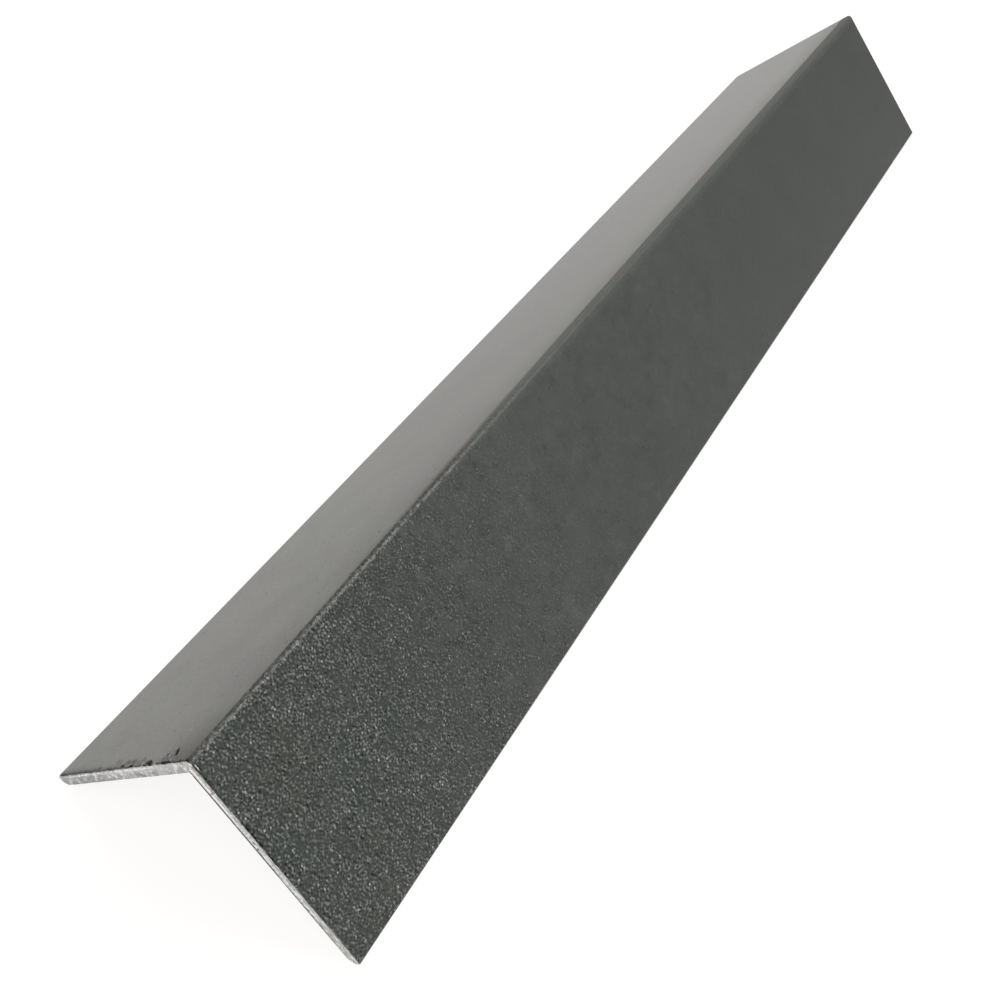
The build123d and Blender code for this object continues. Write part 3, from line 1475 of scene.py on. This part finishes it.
@dataclass(frozen=True)
class Ridge:
    """Wear along the ridge, where the coat rubs first, and painted light and shade. The pale rubbed line is
    partly wear and partly the ridge's painted highlight, the pale band beside it far along the left leg is
    painted sheen, and the broken dark line is painted shade. It changes along the stock.
    """

    # Pale: partly rubbed wear and partly the ridge's painted highlight, and far along the left leg painted
    # sheen.
    pale_wear_and_sheen: Colour = (0.16, 0.16, 0.15)
    dull: Area = Area(Ramp(14.0, 1.5, 0.0, 0.19), Ramp(-0.2, 0.2), Ramp(-148.0, -134.0, 2.1, 1.0))
    matte: Area = Area(down=Ramp(3.0, 0.8), along=Ramp(-130.0, -20.0, 0.06, 0.6))
    bend: Ramp = Ramp(0.3, 1.0, 0.0, 0.25)
    worn: Area = Area(along=Ramp(-95.0, -45.0, 1.0, 0.2))
    worn_size: float = 0.8
    # Painted sheen on the left leg beside the ridge, far along the stock.
    painted_sheen: Area = Area(Ramp(2.2, 0.9), Ramp(-0.1, 0.4), Ramp(-95.0, -35.0, 0.0, 0.55))
    # The broken dark line beside the ridge is painted shade.
    shade_line: Area = Area(Ramp(1.2, 0.6, 0.0, 0.5), Ramp(-0.9, 0.3, 0.6, 1.0))
    shade_line_part: Area = Area(along=Ramp(-105.0, -40.0, 0.6, 0.0))
    shade_line_size: float = 0.7
    ragged: float = 0.7

    def dullness(self, wiring: PieceWiring) -> Socket:
        """Finds how much duller the coat is: broadly on the left leg, and on both close to the ridge."""
        return wiring.math("ADD", wiring.area(self.dull), wiring.area(self.matte))

    def dirt_and_shade(self, wiring: PieceWiring) -> Socket:
        """Finds the broken dark line along the ridge, which is painted shade."""
        line = wiring.worn(wiring.area(self.shade_line), self.shade_line_size, self.ragged)
        return wiring.times(line, wiring.area(self.shade_line_part))

    def rub(self, wiring: PieceWiring, colour: Socket) -> Socket:
        """Rubs the ridge pale, as wear and as painted highlight, and far along it paints sheen on the left
        leg's side too.

        Args:
            wiring: The material's wiring.
            colour: The coat's colour.

        Returns:
            The colour with its pale line.
        """
        bend = wiring.level(wiring.mask(Mask.BEND), self.bend)
        worn = wiring.times(wiring.worn(bend, self.worn_size, self.ragged), wiring.area(self.worn))
        colour = wiring.mix(worn, colour, self.pale_wear_and_sheen)
        return wiring.mix(wiring.area(self.painted_sheen), colour, self.pale_wear_and_sheen)


@dataclass(frozen=True)
class CoatDirtAndShade:
    """Dark, torn edge of the coat along the cut, and the smears beside it: partly dirt, partly painted shade
    of the rolled edge and of dents.
    """

    torn_power: float = 2.0
    torn_size: float = 0.45
    torn_ragged: float = 0.65
    grime_and_shade_power: float = 0.5
    grime_and_shade_size: float = 0.5
    grime_and_shade_ragged: float = 0.4
    most: float = 0.93  # most dirt and painted shade anywhere
    halo: float = 0.5  # share of the dirt and painted shade that spreads past the torn band

    def amount(self, wiring: PieceWiring) -> Socket:
        """Finds how much dirt and painted shade there is. It has no gloss of its own, so it stays as dark as
        painted shade.

        Args:
            wiring: The material's wiring.

        Returns:
            Its amount.
        """
        torn = wiring.mask(Mask.TORN)
        grime_and_shade_mask = wiring.mask(Mask.GRIME)
        band = wiring.worn(wiring.math("POWER", torn, self.torn_power), self.torn_size, self.torn_ragged)
        grime_and_shade_marks = wiring.worn(grime_and_shade_mask, self.grime_and_shade_size, self.grime_and_shade_ragged)
        halo = wiring.larger(torn, wiring.math("POWER", grime_and_shade_mask, self.grime_and_shade_power))
        dirt_and_shade = wiring.times(wiring.larger(band, grime_and_shade_marks), self.most)
        return wiring.larger(dirt_and_shade, wiring.times(halo, self.halo))


@dataclass(frozen=True)
class CoatTone:
    """Colour of the coat under its grain: cool on the right leg, smoother and warmer on the left one."""

    base: Colour = (0.0605, 0.0685, 0.061)
    warm: Colour = (0.064, 0.0675, 0.0605)
    smooth: Colour = (0.084, 0.091, 0.0835)
    smoother: Ramp = Ramp(0.8, 0.3)  # as the grain's strength falls
    pale: Colour = (0.214, 0.221, 0.208)
    pale_share: float = 0.04
    dark: Colour = (0.002, 0.003, 0.002)
    cloud_scale: float = 0.22
    cloud_detail: float = 4.0
    cloud_rough: float = 0.8
    cloud_light: Ramp = Ramp(0.5, 0.8, 0.0, 0.2)
    cloud_dark: Ramp = Ramp(0.5, 0.2, 0.0, 0.3)
    clouds_start: Area = Area(along=Ramp(-128.0, -92.0, 0.3, 1.0))
    clouds_stop: Area = Area(along=Ramp(-30.0, 40.0, 1.0, 0.25))
    left_leg: Area = Area(across=Ramp(-0.6, 0.6))
    left_base: Colour = (0.066, 0.072, 0.054)
    left_warm: Colour = (0.08, 0.0705, 0.059)
    left_dark: Colour = (0.032, 0.032, 0.027)
    left_dark_share: float = 0.65
    left_far: Colour = (0.067, 0.0595, 0.05)  # warmer with distance, away from the ridge
    left_far_part: Area = Area(down=Ramp(1.0, 20.0), along=Ramp(-120.0, 10.0, 0.0, 0.85))

    def colour(self, wiring: PieceWiring, mottle: Outputs, strength: Socket) -> Socket:
        """Colours both legs.

        Args:
            wiring: The material's wiring.
            mottle: The mottle's light and warm values.
            strength: The grain's strength.

        Returns:
            The colour.
        """
        right = wiring.mix(mottle["Warm"], self.base, self.warm)
        right = wiring.mix(wiring.level(strength, self.smoother), right, self.smooth)
        right = wiring.mix(wiring.times(mottle["Light"], self.pale_share), right, self.pale)
        clouds = wiring.noise(wiring.place, self.cloud_scale, self.cloud_detail, self.cloud_rough)
        softly = wiring.times(wiring.area(self.clouds_start), wiring.area(self.clouds_stop))
        for ramp, tint in ((self.cloud_light, self.pale), (self.cloud_dark, self.dark)):
            right = wiring.mix(wiring.times(wiring.level(clouds, ramp), softly), right, tint)
        left = wiring.mix(mottle["Warm"], self.left_base, self.left_warm)
        left = wiring.mix(wiring.times(mottle["Light"], self.left_dark_share), left, self.left_dark)
        left = wiring.mix(wiring.area(self.left_far_part), left, self.left_far)
        return wiring.mix(wiring.area(self.left_leg), right, left)


@dataclass(frozen=True)
class CoatGrain:
    """Fine texture of the coat, coloured with painted light and shade: pale glints on crests and beads,
    painted shade in troughs and pits. It grows weaker along the stock, and is weaker on the left leg.
    """

    size: float = 0.52
    near: Area = Area(along=Ramp(-128.0, -84.0, 1.0, 0.47))
    far: Area = Area(across=Ramp(-0.6, 0.6, 1.0, 0.3), along=Ramp(-90.0, -42.0, 1.0, 0.2 / 0.47))
    patch_scale: float = 0.35
    patches: Ramp = Ramp(0.35, 0.65, 0.78, 1.18)
    # The crest and bead colours are painted glints on the relief. The trough and pit colours are painted
    # shade in its hollows.
    crest: Colour = (0.214, 0.221, 0.208)
    crest_swing: Ramp = Ramp(0.0, 0.42)
    trough: Colour = (0.002, 0.003, 0.002)
    trough_swing: Ramp = Ramp(0.0, -0.6)
    painted_bead_glint: Colour = (0.5, 0.51, 0.49)
    bead_power: float = 1.5
    painted_pit_shade: Colour = (0.014, 0.016, 0.014)
    bump: float = 0.6
    bump_height: float = 0.05 * MM

    def strength(self, wiring: PieceWiring) -> Socket:
        """Finds how strong the grain is. It lies a little unevenly.

        Args:
            wiring: The material's wiring.

        Returns:
            Its strength.
        """
        by_place = wiring.times(wiring.area(self.near), wiring.area(self.far))
        patches = wiring.noise(wiring.place, self.patch_scale, detail=1.0)
        return wiring.times(by_place, wiring.level(patches, self.patches))

    def colour(self, wiring: PieceWiring, grain: Outputs, strength: Socket, colour: Socket) -> Socket:
        """Colours the grain with painted light and shade: pale crests and beads as painted glints, dark
        troughs and pits as painted shade.

        Args:
            wiring: The material's wiring.
            grain: The grain group's values.
            strength: The grain's strength.
            colour: The coat's colour under it.

        Returns:
            The colour with its grain.
        """
        swing = wiring.times(grain["Ripple"], strength)
        colour = wiring.mix(wiring.level(swing, self.crest_swing), colour, self.crest)
        colour = wiring.mix(wiring.level(swing, self.trough_swing), colour, self.trough)
        beads = wiring.times(grain["Beads"], wiring.math("POWER", strength, self.bead_power))
        colour = wiring.mix(beads, colour, self.painted_bead_glint)
        return wiring.mix(wiring.times(grain["Pits"], strength), colour, self.painted_pit_shade)


@dataclass(frozen=True)
class PowderCoat:
    """Dark, finely textured powder coat on every long face."""

    tone: CoatTone = CoatTone()
    grain: CoatGrain = CoatGrain()
    ridge: Ridge = Ridge()
    dirt_and_shade: CoatDirtAndShade = CoatDirtAndShade()
    mottle_size: float = 12.0
    dark: Colour = (0.016, 0.016, 0.015)  # of all dirt and painted shade
    metal: Colour = (0.7, 0.7, 0.69)
    streak_size: float = 0.4
    streak_ragged: float = 0.3
    roughness: Ramp = Ramp(0.0, 1.0, 0.28, 0.8)
    bare: Ramp = Ramp(0.2, 1.0)  # how metallic the dirt and painted shade are: with their near-black colour this takes the coat's gloss away, so they stay dark
    refraction: float = 1.5

    def material(self, shelf: EffectShelf) -> bpy.types.Material:
        """Builds the material.

        Args:
            shelf: The shared shader groups.

        Returns:
            The material.
        """
        wiring = PieceWiring("dark_powder_coat", shelf)
        grain = wiring.effect(Effect.GRAIN, size=self.grain.size)
        mottle = wiring.effect(Effect.MOTTLE, size=self.mottle_size)
        strength = self.grain.strength(wiring)
        colour = self.grain.colour(wiring, grain, strength, self.tone.colour(wiring, mottle, strength))
        streaks = wiring.worn(wiring.mask(Mask.SHINE), self.streak_size, self.streak_ragged)
        colour = wiring.mix(streaks, self.ridge.rub(wiring, colour), self.metal)
        dirt_and_shade = self.dirt_and_shade.amount(wiring)
        ridge_shade = self.ridge.dirt_and_shade(wiring)
        dull = wiring.larger(dirt_and_shade, wiring.math("ADD", self.ridge.dullness(wiring), ridge_shade))
        relief = wiring.times(grain["Height"], strength)
        looks = {
            "Base Color": wiring.mix(wiring.larger(dirt_and_shade, ridge_shade), colour, self.dark),
            "Roughness": wiring.level(dull, self.roughness),
            "Metallic": wiring.level(dirt_and_shade, self.bare),
            "IOR": self.refraction,
            "Normal": wiring.bumped(relief, self.grain.bump, self.grain.bump_height),
        }
        return wiring.finished(looks)


@dataclass(frozen=True)
class SawnAluminium:
    """Bare, sawn aluminium on the two cuts and where the coat is gone."""

    heel: Colour = (0.49, 0.485, 0.455)
    left_middle: Colour = (0.52, 0.505, 0.505)
    right_middle: Colour = (0.51, 0.53, 0.515)
    left_toe: Colour = (0.34, 0.355, 0.335)
    right_toe: Colour = (0.49, 0.5, 0.475)
    bright: Colour = (0.95, 0.94, 0.94)
    # Dark, for smears and grime, and for painted shade in the relief's troughs and pits.
    smear_and_shade: Colour = (0.15, 0.145, 0.16)
    dragged: Colour = (0.015, 0.015, 0.015)  # coat that was dragged over the edge
    left_leg: Area = Area(across=Ramp(-1.0, 1.0))
    past_heel: Area = Area(down=Ramp(4.0, 9.0))
    toes: Area = Area(down=Ramp(20.0, 28.0))
    inner_dark: Ramp = Ramp(0.3, 0.9, 0.0, 0.32)  # across the wall, away from the coat
    light: Ramp = Ramp(0.55, 1.35)
    shade: Ramp = Ramp(0.5, -0.6)
    # Crest and trough paint light on the ripples' crests and shade in their troughs.
    crest: Ramp = Ramp(0.05, 0.9)
    trough: Ramp = Ramp(-0.05, -0.9)
    pit_share: float = 0.7
    mottle_size: float = 1.0
    grain_size: float = 0.45
    stroke_size: float = 0.4
    stroke_ragged: float = 0.35
    roughness: Ramp = Ramp(0.0, 1.0, 0.36, 0.48)
    bump: float = 0.35
    bump_height: float = 0.03 * MM

    def material(self, shelf: EffectShelf) -> bpy.types.Material:
        """Builds the material.

        Args:
            shelf: The shared shader groups.

        Returns:
            The material.
        """
        wiring = PieceWiring("sawn_aluminium", shelf)
        mottle = wiring.effect(Effect.MOTTLE, size=self.mottle_size)
        grain = wiring.effect(Effect.GRAIN, size=self.grain_size)
        colour = self._toned(wiring)
        layers = (
            (wiring.level(wiring.mask(Mask.WALL_PLACE), self.inner_dark), self.smear_and_shade),
            (wiring.level(mottle["Light"], self.light), self.bright),
            (wiring.level(mottle["Light"], self.shade), self.smear_and_shade),
            # Crests brightened, and troughs and pits darkened: painted light and shade of the fine relief.
            (wiring.level(grain["Ripple"], self.crest), self.bright),
            (wiring.level(grain["Ripple"], self.trough), self.smear_and_shade),
            (self._stroke(wiring, Mask.SHINE), self.bright),
            (self._stroke(wiring, Mask.GRIME), self.smear_and_shade),
            (wiring.times(grain["Pits"], self.pit_share), self.smear_and_shade),
            (self._stroke(wiring, Mask.RIM), self.dragged),
        )
        for share, tint in layers:
            colour = wiring.mix(share, colour, tint)
        looks = {
            "Base Color": colour,
            "Metallic": 1.0,
            "Roughness": wiring.level(mottle["Warm"], self.roughness),
            "Normal": wiring.bumped(grain["Height"], self.bump, self.bump_height),
        }
        return wiring.finished(looks)

    def _toned(self, wiring: PieceWiring) -> Socket:
        """Colours the metal down both legs.

        Args:
            wiring: The material's wiring.

        Returns:
            The colour.
        """
        on_left = wiring.area(self.left_leg)
        middle = wiring.mix(on_left, self.right_middle, self.left_middle)
        toe = wiring.mix(on_left, self.right_toe, self.left_toe)
        colour = wiring.mix(wiring.area(self.past_heel), self.heel, middle)
        return wiring.mix(wiring.area(self.toes), colour, toe)

    def _stroke(self, wiring: PieceWiring, mask: Mask) -> Socket:
        """Reads one of the stroke masks, broken up at its edges."""
        return wiring.worn(wiring.mask(mask), self.stroke_size, self.stroke_ragged)


@dataclass(frozen=True)
class PaleFloor:
    """Plain white floor that keeps a soft shadow."""

    colour: Colour = (0.16, 0.16, 0.16)
    tint: Colour = (1.0, 0.99, 0.975)
    glow: float = 0.88  # what the camera and reflections see on top of the lit colour

    def material(self) -> bpy.types.Material:
        """Builds the floor's material.

        Returns:
            The material.
        """
        material = bpy.data.materials.new("pale_floor")
        material.use_nodes = True
        wiring = Wiring(material.node_tree)
        path = wiring.add("ShaderNodeLightPath")
        seen = wiring.larger(path["Is Camera Ray"], path["Is Glossy Ray"])
        seen = wiring.larger(seen, path["Is Transmission Ray"])
        matt = wiring.add("ShaderNodeBsdfDiffuse", {"Color": self.colour})
        looks = {"Color": self.tint, "Strength": wiring.times(seen, self.glow)}
        light = wiring.add("ShaderNodeEmission", looks)
        wiring.finish(wiring.add("ShaderNodeAddShader", {0: matt[0], 1: light[0]}))
        return material


# ---------------------------------------------------------------- studio


def heading(azimuth: float, elevation: float) -> Vector:
    """Points away from the piece: 0 degrees of azimuth is -Y and 90 is +X."""
    turn, rise = math.radians(azimuth), math.radians(elevation)
    return Vector((math.sin(turn) * math.cos(rise), -math.cos(turn) * math.cos(rise), math.sin(rise)))


@dataclass(frozen=True)
class Lamp:
    """Soft square lamp that faces the piece."""

    name: str
    azimuth: float  # in degrees
    elevation: float
    distance: float
    width: float
    power: float

    def hang(self) -> None:
        """Hangs the lamp."""
        data = bpy.data.lights.new(self.name, "AREA")
        data.shape = "SQUARE"
        data.size = self.width
        data.energy = self.power
        lamp = placed(self.name, data)
        away = heading(self.azimuth, self.elevation)
        lamp.location = away * self.distance
        lamp.rotation_euler = away.to_track_quat("Z", "Y").to_euler()


@dataclass(frozen=True)
class CameraStand:
    """Camera close over the near end, looking down the length of the piece."""

    place: tuple[float, float, float] = (-0.2175, -0.0680, 0.1748)
    azimuth: float = -64.316  # in degrees
    elevation: float = 43.735
    roll: float = -6.309
    lens: float = 44.665  # in millimetres
    shift: tuple[float, float] = (0.0387, -0.0307)
    nearest: float = 0.01  # that it shows

    def stand(self) -> None:
        """Sets the camera up and makes it the scene's own."""
        data = bpy.data.cameras.new("camera")
        data.lens = self.lens
        data.shift_x, data.shift_y = self.shift
        data.clip_start = self.nearest
        camera = placed("camera", data)
        aim = heading(self.azimuth, self.elevation).to_track_quat("Z", "Y")
        turn = aim.to_matrix().to_4x4() @ Matrix.Rotation(math.radians(-self.roll), 4, "Z")
        camera.matrix_world = Matrix.Translation(self.place) @ turn
        bpy.context.scene.camera = camera


@dataclass(frozen=True)
class Studio:
    """Floor, lamps, room light and camera. The room's ramps run over the height or across the stock."""

    floor_width: float = 8.0
    left_walls: Ramp = Ramp(0.0, 0.35, 0.75, 0.36)
    right_walls: Ramp = Ramp(0.05, 0.45, 0.05, 0.2)  # dimmer, so that the right leg is darker
    left_start: float = -0.4
    left_stop: float = 0.5
    ceiling_start: float = 0.65
    ceiling: float = 0.9
    camera: CameraStand = CameraStand()
    lamps: tuple[Lamp, ...] = (
        Lamp("end_lamp", azimuth=72.0, elevation=62.0, distance=2.6, width=1.6, power=33.0),
        Lamp("side_lamp", azimuth=-65.0, elevation=52.0, distance=1.8, width=1.2, power=16.0),
    )

    def set_up(self) -> None:
        """Sets everything up round the piece."""
        self.camera.stand()
        for lamp in self.lamps:
            lamp.hang()
        self._light_room()
        self._lay_floor()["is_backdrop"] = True
        bpy.context.scene.view_settings.view_transform = "Standard"

    def _lay_floor(self) -> Piece:
        """Lays the floor.

        Returns:
            The floor.
        """
        half = 0.5 * self.floor_width
        mesh = bpy.data.meshes.new("floor")
        corners = [(-half, -half, 0.0), (half, -half, 0.0), (half, half, 0.0), (-half, half, 0.0)]
        mesh.from_pydata(corners, [], [(0, 1, 2, 3)])
        mesh.materials.append(PaleFloor().material())
        return placed("floor", mesh)

    def _light_room(self) -> None:
        """Fills the room with plain light, dimmer along the walls on the right leg's side."""
        world = bpy.data.worlds.new("room")
        world.use_nodes = True
        wiring = Wiring(world.node_tree)
        axes = wiring.add("ShaderNodeSeparateXYZ", {0: wiring.add("ShaderNodeTexCoord")["Generated"]})
        left = wiring.level(axes["Z"], self.left_walls)
        right = wiring.level(axes["Z"], self.right_walls)
        walls = wiring.level(axes["Y"], Ramp(self.left_start, self.left_stop, right, left))
        light = wiring.level(axes["Z"], Ramp(self.ceiling_start, 1.0, walls, self.ceiling))
        wiring.finish(wiring.add("ShaderNodeBackground", {"Strength": light}), "ShaderNodeOutputWorld")
        bpy.context.scene.world = world


# ---------------------------------------------------------------- making


def dress(piece: bpy.types.Object, shelf: EffectShelf) -> None:
    """Gives the piece its finishes, in the order of Cover."""
    piece.data.materials.append(PowderCoat().material(shelf))
    piece.data.materials.append(SawnAluminium().material(shelf))


def report_size() -> None:
    """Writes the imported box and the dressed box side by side."""
    boxes = {"cad": cad_box, "visual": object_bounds()}
    plain = {name: [list(corner) for corner in box] for name, box in boxes.items()}
    log.info("boxes: %s", plain)


def main() -> None:
    """Builds the piece, dresses it and sets up the studio."""
    logging.basicConfig(level=logging.INFO, format="%(name)s: %(message)s")
    low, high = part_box("angle_section")
    section = Section.from_corner(high)
    near = used_end(section, low.x)
    far = SawnEnd(section, plane=high.x, inward=-1.0, seed=2.0)
    stock = AngleStock(section, near, far)
    piece = stock.build()
    dress(piece, EffectShelf())
    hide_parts("angle_section")
    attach(piece, "root")
    triangles = sum(len(face.vertices) - 2 for face in piece.data.polygons)
    log.info("%s: %d triangles", piece.name, triangles)
    Studio().set_up()
    report_size()


if __name__ == "__main__":
    main()
